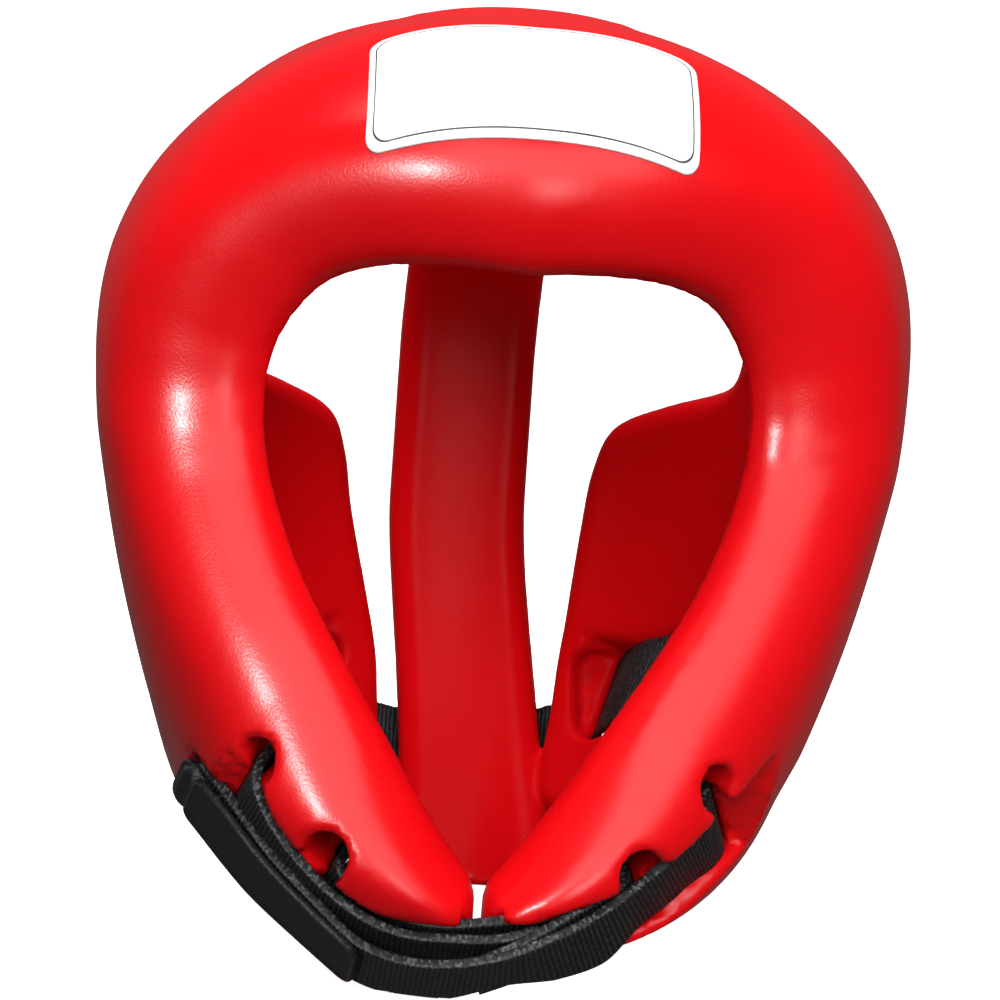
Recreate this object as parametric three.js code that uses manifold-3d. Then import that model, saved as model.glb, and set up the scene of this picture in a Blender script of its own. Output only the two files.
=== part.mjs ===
// A head guard for kick-boxing: one moulded foam shell that rests on its chin strap and its nape end.
// Millimetres, +Z up, the face opening looks along -Y and the floor is z = 0.
// The foam lies on a head form. A place on that form is a direction from the middle of the head:
// azimuth in degrees from the face (0) to the back (180), elevation in degrees above the middle.
// Heights stand square to the form. Left and right are those of someone who looks at the face opening.

import * as THREE from "three";
import { ParametricGeometry } from "three/addons/geometries/ParametricGeometry.js";
import { mergeGeometries, mergeVertices } from "three/addons/utils/BufferGeometryUtils.js";
import Module from "manifold-3d";

const wasm = await Module();
wasm.setup();

// Head form: half lengths from its middle, and how much it narrows towards the chin.
const HEAD = { middle: 142, side: 80, front: 97, back: 95, top: 92, bottom: 220, power: 2.25 };
const NARROWING = { share: 0.5, reach: 150, most: 1.1 };

// Foam sections, from the middle of the brow round the right side to the end of the chin lobe.
// Each runs over the head from the lip of the face opening to the far edge of the foam.
const SHELL_SECTIONS = [
  // lip azimuth, lip elevation, edge azimuth, edge elevation, ridge height, edge height, edge taper
  [0, 21, 0, 78, 27, 14, 0],
  [10.5, 21.5, 33, 77, 28, 14, 0],
  [20.5, 21, 68, 71, 29.2, 14.6, 0],
  [28.5, 18.6, 92, 58, 30.4, 15.2, 0],
  [33.6, 14, 108, 46, 31, 15.5, 0],
  [36.8, 8.8, 118.5, 31, 31, 15.6, 0],
  [37.9, 4.5, 125, 17, 30.8, 15.6, 0],
  [38.2, 1.5, 126.6, 9, 30.6, 15.6, 0],
  [38, -1, 131, 4.2, 30.4, 15.6, 0],
  [37.8, -3.5, 145, -0.2, 30.2, 15.6, 0],
  [37.2, -6.5, 154.5, -4.8, 29.9, 15.6, 0],
  [35.8, -11, 158, -12.5, 28.8, 15.6, 0],
  [33, -17.3, 159.8, -22, 27.4, 15.5, 0],
  [29.4, -23.5, 161.3, -33, 26.2, 15.4, 0],
  [24.2, -30.5, 162.8, -44, 25.2, 15.4, 0],
  [19.8, -36, 160.5, -54, 24.8, 15.6, 0],
  [16, -40.4, 137, -55, 25, 16.2, 0.1],
  [12.6, -44, 105, -52.4, 25.6, 17.2, 0.3],
  [9.2, -47, 75, -52.4, 25, 18.6, 0.6],
  [6.2, -49.2, 48, -54.5, 24, 19, 0.9],
  [3.6, -50.8, 25, -56.5, 22, 18, 1],
  [1.8, -51.8, 9, -57.2, 20, 17, 1],
];
const SECTION_STEPS = 2; // lofted steps between two rows of the table
const LIP = { height: 8, round: 2.5 };
const RIDGE = { fromLip: 24, most: 0.4, fall: 62 };
const EDGE = { round: 6, tip: 0.5, taperedRound: 18, taperedTip: 0.14 };
const STEPS = { inner: 5, outer: 10, lip: 4, edge: 6 };
const LENGTH_STEPS = 12;
const LOBE_TIP = { share: 0.7, azimuth: 0.8 };

// Centre strip, from inside the forehead band over the crown to the nape: angles round the ears.
const STRIP = { from: 62, to: 243.5, height: 14, width: 38, crownWidth: 58, endRound: 14, corner: 5 };
const STRIP_NARROWS = { from: 90, to: 135 };
const STRIP_LEANS = { from: 185, to: 240, start: -0.5, by: 8 };
const STRIP_STEPS = { along: 32, around: 16, crowding: 1.25 };
const STRIP_TIP = 0.35;

// Webbing, the room it has in the foam, and the slots it runs through.
const WEBBING = { width: 25, thickness: 2.4, color: 0x17171a };
const REAR_WEBBING = { width: 30, thickness: 1.8, color: 0x17171a };
const TAB = { width: 24, thickness: 1.8, color: 0x101012 };
const STRAP_ROOM = { width: 1.4, thickness: 1.2 };
const STRAP_STEPS = 3; // steps of a strap between two rows of its route
const SLOT = { long: 34, wide: 9, depth: 44, before: 4, arcSteps: 5 };

// Each route follows the front or top edge of its webbing. Its width runs from there along the way given.
// The right strap: from under the tab across the chin, in at the upper slot, out at the lower, back left.
const RIGHT_ROUTE = [
  // azimuth, elevation, height, width way x, y, z
  [-41.5, -42.6, 21, -0.15, 0.85, -0.5],
  [-34.6, -45.8, 22, -0.15, 0.85, -0.5],
  [-29.2, -48.9, 22.6, -0.12, 0.86, -0.5],
  [-23, -51.8, 22.6, -0.08, 0.87, -0.48],
  [-17.5, -54.4, 22.5, -0.04, 0.87, -0.48],
  [-12, -55.6, 23, 0, 0.87, -0.48],
  [-5.9, -55.9, 24, 0, 0.87, -0.48],
  [3.5, -55.3, 24.5, 0.08, 0.87, -0.48],
  [9.1, -53.5, 24, 0.2, 0.85, -0.48],
  [14.4, -51.8, 23, 0.3, 0.82, -0.48],
  [19.5, -49.9, 23, 0.36, 0.8, -0.48],
  [24.9, -47.5, 22, 0.36, 0.78, -0.5],
  [29.3, -44.5, 20, 0.32, 0.72, -0.6],
  [32.3, -42, 11, 0.3, 0.6, -0.74],
  [31, -43, -2.6, 0.5, 0.45, -0.74],
  [27, -45.5, -2.6, 0.5, 0.5, -0.7],
  [23, -47.6, -2.6, 0.36, 0.66, -0.66],
  [20.6, -48.3, 8, 0.25, 0.82, -0.5],
  [19.4, -49, 19, 0.25, 0.84, -0.48],
  [14.4, -51, 21.5, 0.22, 0.84, -0.48],
  [9.1, -52.7, 22.4, 0.15, 0.86, -0.48],
  [3.5, -54, 23, 0.05, 0.87, -0.48],
  [-4, -54.7, 22.5, 0, 0.87, -0.48],
];
const RIGHT_SLOTS = [13, 17]; // rows of the route that lie in a slot
// The left strap: from its short end right of the gap, in at the lower slot, out at the upper, under the right.
const LEFT_ROUTE = [
  [11.5, -52, 18.5, 0.05, 0.87, -0.48],
  [3.5, -52.5, 19.5, 0, 0.87, -0.48],
  [-5.9, -52.8, 19, 0, 0.87, -0.48],
  [-12, -52, 18.5, -0.1, 0.87, -0.48],
  [-16.6, -50.5, 18.6, -0.2, 0.85, -0.48],
  [-19.4, -49, 18, -0.25, 0.84, -0.48],
  [-20.6, -48.3, 8, -0.25, 0.82, -0.5],
  [-23, -47.6, -2.6, -0.36, 0.66, -0.66],
  [-27, -45.5, -2.6, -0.5, 0.5, -0.7],
  [-31, -43, -2.6, -0.5, 0.45, -0.74],
  [-32.3, -42, 11, -0.3, 0.6, -0.74],
  [-30.3, -42.6, 18.6, -0.26, 0.76, -0.6],
  [-27.6, -46, 19.4, -0.2, 0.82, -0.52],
  [-22.6, -50.4, 20, -0.12, 0.86, -0.48],
  [-17.5, -53, 20.6, -0.05, 0.87, -0.48],
  [-11.5, -54, 20.6, 0, 0.87, -0.48],
  [-4, -53.8, 21, 0, 0.87, -0.48],
];
const LEFT_SLOTS = [6, 10];
const TAB_ROUTE = [
  [-42.6, -43, 24.4, -0.15, 0.85, -0.5],
  [-35.1, -46.3, 25.2, -0.15, 0.85, -0.5],
  [-29.7, -49.4, 25.8, -0.12, 0.86, -0.5],
  [-23.4, -52.4, 25.8, -0.08, 0.87, -0.48],
  [-17.8, -54.8, 25.6, -0.04, 0.87, -0.48],
];
// Half of the rear strap, from its end inside the right wing out through the slot to the middle of the back.
const REAR_ROUTE = [
  [130, -37.4, 1.4, 0, -0.2, -1],
  [138, -38.6, 1.4, 0, -0.2, -1],
  [145.5, -39.8, 8, 0, -0.2, -1],
  [152, -41.6, 17.2, 0, -0.22, -1],
  [161, -43.8, 17.2, 0, -0.24, -1],
  [170, -45.4, 17.2, 0, -0.26, -1],
  [180, -46, 17.2, 0, -0.26, -1],
];
const REAR_SLOT = 2;

// Forehead label: azimuths and elevations of its corners, with edges that bow up in the middle.
const LABEL = { lowAzimuth: 20.5, highAzimuth: 29, low: 30.8, lowBow: 0.9, high: 47.4, highBow: 8.6 };
const LABEL_SHEET = { from: 0.35, to: 0.95 }; // heights above the foam, which has a seat of its shape
const LABEL_SEAT = { from: 0, to: 4, margin: 0.015 };
const LABEL_STEPS = { columns: 16, rows: 6 };

const FLOOR_BLOCK = 400;
const radians = THREE.MathUtils.degToRad;
const { lerp, smoothstep, clamp } = THREE.MathUtils;

// Head form

function direction(azimuth, elevation) {
  const around = radians(azimuth);
  const up = radians(elevation);
  return new THREE.Vector3(Math.sin(around) * Math.cos(up), -Math.cos(around) * Math.cos(up), Math.sin(up));
}

function halfLengths(way) {
  return [HEAD.side, way.y < 0 ? HEAD.front : HEAD.back, way.z > 0 ? HEAD.top : HEAD.bottom];
}

function headRadius(way) {
  const halves = halfLengths(way);
  const sum = way.toArray().reduce((total, part, i) => total + Math.abs(part / halves[i]) ** HEAD.power, 0);
  return sum ** (-1 / HEAD.power);
}

// The point at a height above the head form, whose sides draw in below its middle.
function overHead(way, height) {
  const round = way.clone().multiplyScalar(headRadius(way));
  const below = clamp(-round.z / NARROWING.reach, 0, NARROWING.most);
  const narrow = 1 - NARROWING.share * below ** 3;
  const slope = (3 * NARROWING.share * below ** 2) / NARROWING.reach;
  const halves = halfLengths(way);
  const pull = round.toArray().map((part, i) => {
    return (Math.sign(part) * Math.abs(part / halves[i]) ** (HEAD.power - 1)) / halves[i];
  });
  const out = new THREE.Vector3(pull[0] / narrow, pull[1], pull[2] - (pull[0] * round.x * slope) / narrow);
  const point = new THREE.Vector3(round.x * narrow, round.y, round.z + HEAD.middle);
  return point.addScaledVector(out.normalize(), height);
}

// Meshes and solids

function weld(geometry) {
  const bare = geometry.clone();
  bare.deleteAttribute("normal");
  bare.deleteAttribute("uv");
  const merged = mergeVertices(bare, 1e-4);
  const index = merged.index.array;
  const kept = [];
  for (let i = 0; i < index.length; i += 3) {
    const corners = new Set(index.slice(i, i + 3));
    if (corners.size === 3) kept.push(...corners);
  }
  merged.setIndex(kept);
  return merged;
}

function turnInsideOut(index) {
  for (let i = 0; i < index.length; i += 3) [index[i + 1], index[i + 2]] = [index[i + 2], index[i + 1]];
}

function toSolid(geometry) {
  const merged = weld(geometry);
  const vertProperties = merged.attributes.position.array;
  const triVerts = new Uint32Array(merged.index.array);
  const solid = new wasm.Manifold(new wasm.Mesh({ numProp: 3, vertProperties, triVerts }));
  if (solid.volume() > 0) return solid;
  turnInsideOut(triVerts);
  return new wasm.Manifold(new wasm.Mesh({ numProp: 3, vertProperties, triVerts }));
}

function toGeometry(solid) {
  const { vertProperties, triVerts } = solid.getMesh();
  const geometry = new THREE.BufferGeometry();
  geometry.setAttribute("position", new THREE.BufferAttribute(new Float32Array(vertProperties), 3));
  geometry.setIndex(new THREE.BufferAttribute(new Uint32Array(triVerts), 1));
  geometry.computeVertexNormals();
  return geometry;
}

function middleOf(points) {
  const sum = points.reduce((total, point) => total.add(point), new THREE.Vector3());
  return sum.divideScalar(points.length);
}

// A skin over rows of points, each a closed loop. A closed end runs to the middle of its loop.
function loft(loops, closeStart, closeEnd) {
  const rows = loops.slice();
  const tip = (loop) => loop.map(() => middleOf(loop));
  if (closeStart) rows.unshift(tip(loops[0]));
  if (closeEnd) rows.push(tip(loops[loops.length - 1]));
  const around = loops[0].length;
  const place = (u, v, target) => {
    const row = rows[Math.round(u * (rows.length - 1))];
    target.copy(row[Math.round(v * around) % around]);
  };
  return new ParametricGeometry(place, rows.length - 1, around);
}

// A thin closed slab: a box bent by a function of its length, width and thickness, each from 0 to 1.
function slab(columns, rows, bend) {
  const box = new THREE.BoxGeometry(1, 1, 1, columns, rows, 1).translate(0.5, 0.5, 0.5);
  const place = box.attributes.position;
  for (let i = 0; i < place.count; i++) {
    const point = bend(place.getX(i), place.getY(i), place.getZ(i));
    place.setXYZ(i, point.x, point.y, point.z);
  }
  return toSolid(box);
}

// Foam shell

function sectionDirection([lipAzimuth, lipElevation, edgeAzimuth, edgeElevation], share) {
  return direction(lerp(lipAzimuth, edgeAzimuth, share), lerp(lipElevation, edgeElevation, share));
}

function sectionLength(row) {
  let length = 0;
  for (let i = 0; i < LENGTH_STEPS; i++) {
    const here = overHead(sectionDirection(row, i / LENGTH_STEPS), 0);
    length += here.distanceTo(overHead(sectionDirection(row, (i + 1) / LENGTH_STEPS), 0));
  }
  return length;
}

// Height of the outer face: it swells from the lip to the ridge and falls away behind it.
function outerHeight(along, end, ridge, edge) {
  const top = Math.min(RIDGE.fromLip, end * RIDGE.most);
  if (along < top) return ridge - (ridge - LIP.height) * (1 - along / top) ** 2;
  return lerp(ridge, edge, smoothstep(along, top, Math.min(top + RIDGE.fall, end)));
}

// One closed section: inner face, far edge, outer face back to the lip, round lip.
// A tapered far edge runs down to the inner face in a long round.
function sectionLoop(row) {
  const [ridge, edge, taper] = row.slice(4);
  const length = sectionLength(row);
  const round = Math.min(lerp(EDGE.round, EDGE.taperedRound, taper), length / 2);
  const tip = lerp(EDGE.tip, EDGE.taperedTip, taper);
  const start = LIP.round;
  const end = length - round;
  const pad = Math.min(2 * RIDGE.fromLip, (start + end) / 2);
  const height = (along) => outerHeight(along, end, ridge, edge);
  const loop = [];
  const add = (along, up) => loop.push(overHead(sectionDirection(row, along / length), up));
  for (let i = 0; i <= STEPS.inner; i++) add(lerp(start, end, i / STEPS.inner), 0);
  for (let i = 1; i < STEPS.edge; i++) {
    const turn = (Math.PI * i) / STEPS.edge;
    const part = turn < Math.PI / 2 ? tip : 1 - tip;
    add(end + round * Math.sin(turn), height(end) * (tip - part * Math.cos(turn)));
  }
  for (let i = STEPS.outer; i >= 0; i--) {
    const share = (2 * i) / STEPS.outer - 1;
    const along = share > 0 ? lerp(pad, end, share) : lerp(pad, start, -share);
    add(along, height(along));
  }
  for (let i = 1; i < STEPS.lip; i++) {
    const turn = (Math.PI * i) / STEPS.lip;
    add(start * (1 - Math.sin(turn)), (height(start) / 2) * (1 + Math.cos(turn)));
  }
  return loop;
}

// Ring, chin lobes and wings: the right half, its blunt lobe tip, and its mirror image.
function shellRing() {
  const last = SHELL_SECTIONS.length - 1;
  const [lipAzimuth, lipElevation, edgeAzimuth, ...others] = SHELL_SECTIONS[1];
  const rows = [[-lipAzimuth, lipElevation, -edgeAzimuth, ...others], ...SHELL_SECTIONS];
  const stations = rows.map((row, i) => i - 1);
  const between = new THREE.CubicInterpolant(stations, rows.flat(), rows[0].length);
  const loops = [];
  for (let i = 0; i <= last * SECTION_STEPS; i++) {
    loops.push(sectionLoop(Array.from(between.evaluate(i / SECTION_STEPS))));
  }
  const lobe = loops[loops.length - 1];
  const centre = middleOf(lobe);
  const tipSide = overHead(direction(LOBE_TIP.azimuth, SHELL_SECTIONS[last][1]), 0).x;
  loops.push(lobe.map((point) => point.clone().lerp(centre, 1 - LOBE_TIP.share).setX(tipSide)));
  const right = loft(loops, false, true);
  const left = right.clone().scale(-1, 1, 1);
  turnInsideOut(left.index.array);
  return toSolid(mergeGeometries([right, left]));
}

function stripLoop(angle) {
  const way = new THREE.Vector3(0, -Math.cos(radians(angle)), Math.sin(radians(angle)));
  const radius = headRadius(way);
  const toEnd = radians(STRIP.to - angle) * radius;
  const round = Math.max(STRIP_TIP, Math.sqrt(1 - Math.max(0, 1 - toEnd / STRIP.endRound) ** 2));
  const width = lerp(STRIP.crownWidth, STRIP.width, smoothstep(angle, STRIP_NARROWS.from, STRIP_NARROWS.to));
  const lean = STRIP_LEANS.start + STRIP_LEANS.by * smoothstep(angle, STRIP_LEANS.from, STRIP_LEANS.to);
  const square = (value) => Math.sign(value) * Math.abs(value) ** (2 / STRIP.corner);
  const loop = [];
  for (let i = 0; i < STRIP_STEPS.around; i++) {
    const turn = (2 * Math.PI * i) / STRIP_STEPS.around;
    const side = lean + (width / 2) * round * square(Math.cos(turn));
    const height = (STRIP.height / 2) * (1 + round * square(Math.sin(turn)));
    loop.push(overHead(way.clone().setX(side / radius).normalize(), height));
  }
  return loop;
}

function centreStrip() {
  const loops = [];
  for (let i = 0; i <= STRIP_STEPS.along; i++) {
    const share = 1 - (1 - i / STRIP_STEPS.along) ** STRIP_STEPS.crowding;
    loops.push(stripLoop(lerp(STRIP.from, STRIP.to, share)));
  }
  return toSolid(loft(loops, true, true));
}

// Straps

// A strap's edge line and the way of its width, both smooth along the route.
function strapCourse(route, { width, thickness }) {
  const edge = route.map(([azimuth, elevation, height]) => overHead(direction(azimuth, elevation), height));
  const ways = route.map((row) => new THREE.Vector3(...row.slice(3)).normalize());
  const edgeLine = new THREE.CatmullRomCurve3(edge);
  const wayLine = new THREE.CatmullRomCurve3(ways);
  const frame = (share) => {
    const wide = wayLine.getPoint(share).normalize();
    const along = edgeLine.getTangent(share);
    const up = new THREE.Vector3().crossVectors(along, wide).normalize();
    return { centre: edgeLine.getPoint(share).addScaledVector(wide, width / 2), wide, up };
  };
  return { frame, rows: route.length, width, thickness };
}

function strapBand({ frame, rows, width, thickness }, room) {
  return slab(STRAP_STEPS * (rows - 1), 1, (along, across, through) => {
    const { centre, wide, up } = frame(along);
    centre.addScaledVector(wide, (across - 0.5) * (width + room.width));
    return centre.addScaledVector(up, (through - 0.5) * (thickness + room.thickness));
  });
}

// A slot through the foam, along the strap that runs through it, which lies at the slot's far end.
function slotCutter({ frame, rows }, row) {
  const { centre, wide, up } = frame(row / (rows - 1));
  centre.addScaledVector(wide, -SLOT.before);
  const straight = (SLOT.long - SLOT.wide) / 2;
  const outline = new THREE.Shape();
  outline.absarc(0, straight, SLOT.wide / 2, 0, Math.PI);
  outline.absarc(0, -straight, SLOT.wide / 2, Math.PI, 2 * Math.PI);
  const shape = { depth: SLOT.depth, bevelEnabled: false, curveSegments: SLOT.arcSteps };
  const hole = new THREE.ExtrudeGeometry(outline, shape).translate(0, 0, -SLOT.depth / 2);
  const through = new THREE.Vector3().crossVectors(up, wide);
  const turned = new THREE.Matrix4().makeBasis(up, wide, through).setPosition(centre);
  return toSolid(hole.applyMatrix4(turned));
}

// Label

// Finds the height of the foam's outer face along a direction.
function outerFaceFinder(solid) {
  const mesh = new THREE.Mesh(toGeometry(solid));
  const caster = new THREE.Raycaster();
  const far = 60;
  return (azimuth, elevation) => {
    const way = direction(azimuth, elevation);
    const start = overHead(way, far);
    caster.set(start, overHead(way, 0).sub(start).normalize());
    return far - caster.intersectObject(mesh)[0].distance;
  };
}

// A sheet over the label's place, between two heights above the foam. Its margin is a share of its size.
function labelSlab(faceHeight, from, to, margin) {
  return slab(LABEL_STEPS.columns, LABEL_STEPS.rows, (along, across, through) => {
    const side = (2 * along - 1) * (1 + margin);
    const high = across + (across - 0.5) * margin;
    const low = LABEL.low + LABEL.lowBow * (1 - side ** 2);
    const top = LABEL.high + LABEL.highBow * (1 - side ** 2);
    const azimuth = side * lerp(LABEL.lowAzimuth, LABEL.highAzimuth, high);
    const elevation = lerp(low, top, high);
    return overHead(direction(azimuth, elevation), faceHeight(azimuth, elevation) + lerp(from, to, through));
  });
}

// Cuts can leave loose crumbs of foam: only the largest body is the piece.
function mainBody(solid) {
  return solid.decompose().sort((one, other) => other.volume() - one.volume())[0];
}

function aboveFloor(solid) {
  const block = new THREE.BoxGeometry(FLOOR_BLOCK, FLOOR_BLOCK, FLOOR_BLOCK).translate(0, 0, -FLOOR_BLOCK / 2);
  return solid.subtract(toSolid(block));
}

// Assembly

const rearLeft = REAR_ROUTE.slice(0, -1).reverse();
const mirrored = rearLeft.map(([azimuth, ...others]) => [360 - azimuth, ...others]);
const rearRoute = [...REAR_ROUTE, ...mirrored];
const straps = [
  // name, route, webbing, rows in a slot
  ["chin_strap_left", LEFT_ROUTE, WEBBING, LEFT_SLOTS],
  ["chin_strap_right", RIGHT_ROUTE, WEBBING, RIGHT_SLOTS],
  ["hook_tab", TAB_ROUTE, TAB, []],
  ["rear_strap", rearRoute, REAR_WEBBING, [REAR_SLOT, rearRoute.length - 1 - REAR_SLOT]],
];

const guard = new THREE.Group();
function addPiece(name, solid, color, roughness) {
  const material = new THREE.MeshStandardMaterial({ color, roughness, metalness: 0 });
  const mesh = new THREE.Mesh(toGeometry(solid), material);
  mesh.name = name;
  guard.add(mesh);
}

let foam = shellRing().add(centreStrip());
const faceHeight = outerFaceFinder(foam);
const label = labelSlab(faceHeight, LABEL_SHEET.from, LABEL_SHEET.to, 0);
foam = foam.subtract(labelSlab(faceHeight, LABEL_SEAT.from, LABEL_SEAT.to, LABEL_SEAT.margin));
for (const [name, route, webbing, slots] of straps) {
  const course = strapCourse(route, webbing);
  for (const row of slots) foam = foam.subtract(slotCutter(course, row));
  foam = foam.subtract(strapBand(course, STRAP_ROOM));
  addPiece(name, aboveFloor(strapBand(course, { width: 0, thickness: 0 })), webbing.color, 0.85);
}
addPiece("shell", aboveFloor(mainBody(foam)), 0xd80f14, 0.35);
addPiece("front_label", label, 0xf2f2f2, 0.4);

export default guard;
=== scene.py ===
"""Head guard for kick-boxing: the looks of a moulded foam shell with its webbing straps, tab and label.

The foam lies on a head form. A place on that form is a direction from the middle of the head: azimuth in
degrees from the face (0) to the back (180), elevation in degrees above the middle. Heights stand square to
the form. Shapes are worked out in millimetres and go into Blender in metres.
"""
import math

import bpy
import numpy as np
from mathutils import Matrix, Vector, kdtree


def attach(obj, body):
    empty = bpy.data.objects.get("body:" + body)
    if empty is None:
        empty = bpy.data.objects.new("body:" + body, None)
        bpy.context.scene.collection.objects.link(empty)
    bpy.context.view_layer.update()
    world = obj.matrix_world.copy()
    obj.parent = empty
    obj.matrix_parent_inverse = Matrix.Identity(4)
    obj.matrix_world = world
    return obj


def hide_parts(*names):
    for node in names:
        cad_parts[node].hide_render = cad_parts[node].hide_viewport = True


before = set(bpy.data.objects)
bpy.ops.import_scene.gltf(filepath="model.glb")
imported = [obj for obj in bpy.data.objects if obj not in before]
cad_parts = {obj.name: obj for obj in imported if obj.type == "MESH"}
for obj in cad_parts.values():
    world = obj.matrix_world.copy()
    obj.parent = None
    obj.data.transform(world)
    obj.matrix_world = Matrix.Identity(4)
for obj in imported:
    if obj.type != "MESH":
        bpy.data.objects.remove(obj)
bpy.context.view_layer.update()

MM = 0.001
TINY = 1e-6
SEED = 7

# Camera of the photo, and the image it is fitted to.
CAMERA = {"azimuth": -3.5, "elevation": 4, "roll": 4, "distance": 1.0, "target": (0.004, 0, 0.117)}
LENS = {"focal_mm": 135.3, "sensor_mm": 36}

# Head form: half lengths from its middle, and how much it narrows towards the chin.
HEAD = {"middle": 142, "side": 80, "front": 97, "back": 95, "top": 92, "bottom": 220, "power": 2.25}
NARROWING = {"share": 0.5, "reach": 150, "most": 1.1}
FOOT_ROUNDS = 6

# Foam sections, from the middle of the brow round the side to the end of the chin lobe.
SECTIONS = np.array([
    # lip azimuth, lip elevation, edge azimuth, edge elevation, ridge height, edge height, edge taper
    [0, 21, 0, 78, 26.6, 12.6, 0],
    [10.5, 21.5, 33, 77, 27.4, 12.4, 0],
    [21.5, 21, 68, 71, 28.2, 13.6, 0],
    [30, 18.6, 92, 58, 30.2, 17.8, 0],
    [35.2, 14, 108, 46, 31.4, 21, 0],
    [38.3, 8.8, 118.5, 31, 31.2, 19.8, 0],
    [39.4, 4.5, 125, 17, 30.6, 17, 0],
    [39.7, 1.5, 126.6, 9, 30.2, 15.4, 0],
    [39.5, -1, 131.5, 4.2, 30, 15, 0],
    [39.3, -3.5, 146, -0.2, 29.8, 15, 0],
    [38.6, -6.5, 155.6, -4.8, 29.4, 15, 0],
    [37.1, -11, 159, -12.5, 28.2, 15, 0],
    [34, -17.3, 160.2, -22, 26.8, 15, 0],
    [30.2, -23.5, 160.8, -33, 25.6, 15, 0],
    [24.7, -30.5, 160.8, -44, 24.6, 14.6, 0],
    [20, -36, 157.5, -54, 24, 14.8, 0],
    [16, -40.4, 137, -55, 24.2, 14.6, 0.15],
    [12.6, -44, 105, -52.8, 25, 15.2, 0.38],
    [9.2, -47, 75, -53, 25, 17.4, 0.66],
    [6.2, -49.2, 48, -55.4, 24, 19.2, 0.8],
    [3.6, -50.8, 25, -57.2, 22, 18, 1],
    [1.8, -51.8, 9, -57.2, 20, 17, 1],
])
LOBE_END = [[0.9, -53], [0.9, -57.4]]  # azimuth and elevation of the chin lobe's blunt end
SECTION_HEIGHTS = (4, 5, 6)  # columns of the ridge height, the edge height and the edge taper
SECTION_STEPS = 12
LIP = {"height": 8, "round": 2.5}
RIDGE = {"from_lip": 24, "most": 0.4, "past_lip": 1.5}
FALL = {"low": 52, "high": 86, "from": -10, "to": 32}  # length behind the ridge, by elevation
EDGE = {"round": 6.5, "tapered_round": 1.5, "taper_length": 18, "tip": 0.14}
FIELD_STEP = 0.5
FIELD_BLUR = {"rounds": 4, "reach": 2}
IN_LAST_CELL = 1.001  # taken off a count of grid lines, it keeps a place inside the last cell
# The left wing reaches further back, by azimuth and by depth below the middle.
LEFT_WING = {"from": 120, "to": 155, "high": 16, "low": 46, "by": 4.4}

# Centre strip, from inside the forehead band over the crown to the nape: angles round the ears.
STRIP = {"from": 60, "to": 243.5, "height": 12.8, "half": 18.5, "crown_half": 29, "end_round": 13}
STRIP_ROUND = {"inner": 6, "outer": 6.6}
STRIP_NARROWS = (80, 118)
STRIP_LEANS = {"from": 198, "to": 246, "start": -2.2, "by": 9.4}
STRIP_TURN = -60  # angles below this count on past half a turn, down the back
STRIP_JOIN = 2
CROWN_LEANS = {"from": 150, "to": 215, "by": 2}  # levels, and how far the crown leans to the viewer's right

# Webbing, the slots it runs through and the grooves it presses into the foam.
WEBBING = {"width": 25, "thickness": 2.4}
REAR_WEBBING = {"width": 26, "thickness": 1.8}
TAB = {"width": 24, "thickness": 1.8}
CHEEK_MOUTH = {"deepest": 0, "reach": 34, "soft": 2.4}
CHEEK_MOUTHS = [
    # azimuth, elevation, way to the far side x, y, z, length, width, rise, all of the viewer's right cheek
    [30, -41.7, 0.84, 0.54, 0, 11.5, 9.5, 14],
    [21.2, -48.6, 0.87, 0.29, 0.39, 13, 11.5, 11],
]
REAR_MOUTH = {"deepest": 8.5, "rise": 3, "reach": 26, "soft": 2, "long": 26, "wide": 12, "past_strap": 4.6}
GROOVE = {"room": 0.1, "soft": 2.5, "reach": 14, "sample": 2, "lying": 0.55}
COURSE = {"samples": 40, "nudge": 0.002}  # samples for each row of a route, and the step that finds slopes

# Each route follows the front or top edge of its webbing. Its width runs from there along the way given.
RIGHT_ROUTE = [
    # azimuth, elevation, height, width way x, y, z
    [-41, -43.6, 21.4, -0.15, 0.85, -0.5],
    [-35, -46.1, 22.2, -0.15, 0.85, -0.5],
    [-29.6, -49.2, 22.8, -0.12, 0.86, -0.5],
    [-23.4, -52.2, 22.8, -0.08, 0.87, -0.48],
    [-17.7, -54.7, 22.7, -0.04, 0.87, -0.48],
    [-12, -55.5, 23.8, 0, 0.87, -0.48],
    [-5.9, -55.6, 25, 0, 0.87, -0.48],
    [3.5, -54.8, 25.4, 0.06, 0.9, -0.42],
    [9.1, -53.5, 25.2, 0.2, 0.85, -0.49],
    [14.4, -52, 24.4, 0.24, 0.82, -0.52],
    [19.5, -50, 23.6, 0.25, 0.88, -0.39],
    [24.9, -47.5, 22.4, 0.26, 0.88, -0.39],
    [29.6, -44.6, 20, 0.27, 0.8, -0.54],
    [33.6, -42.4, 11, 0.3, 0.6, -0.74],
    [32.4, -43, -2.6, 0.5, 0.45, -0.74],
    [28, -45.5, -2.6, 0.5, 0.5, -0.7],
    [24.5, -47.6, -2.6, 0.36, 0.66, -0.66],
    [22.3, -48.6, 8, 0.25, 0.82, -0.5],
    [20.2, -49.6, 19, 0.25, 0.84, -0.48],
    [14.4, -51.2, 21.6, 0.22, 0.84, -0.48],
    [9.1, -53, 22.8, 0.15, 0.86, -0.48],
    [5, -54.4, 22.9, 0.07, 0.87, -0.48],
    [1, -55.4, 22.6, 0.02, 0.87, -0.48],
]
RIGHT_SLOTS = (13, 17)  # rows of the route that lie in a slot: the webbing is inside between them
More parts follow.
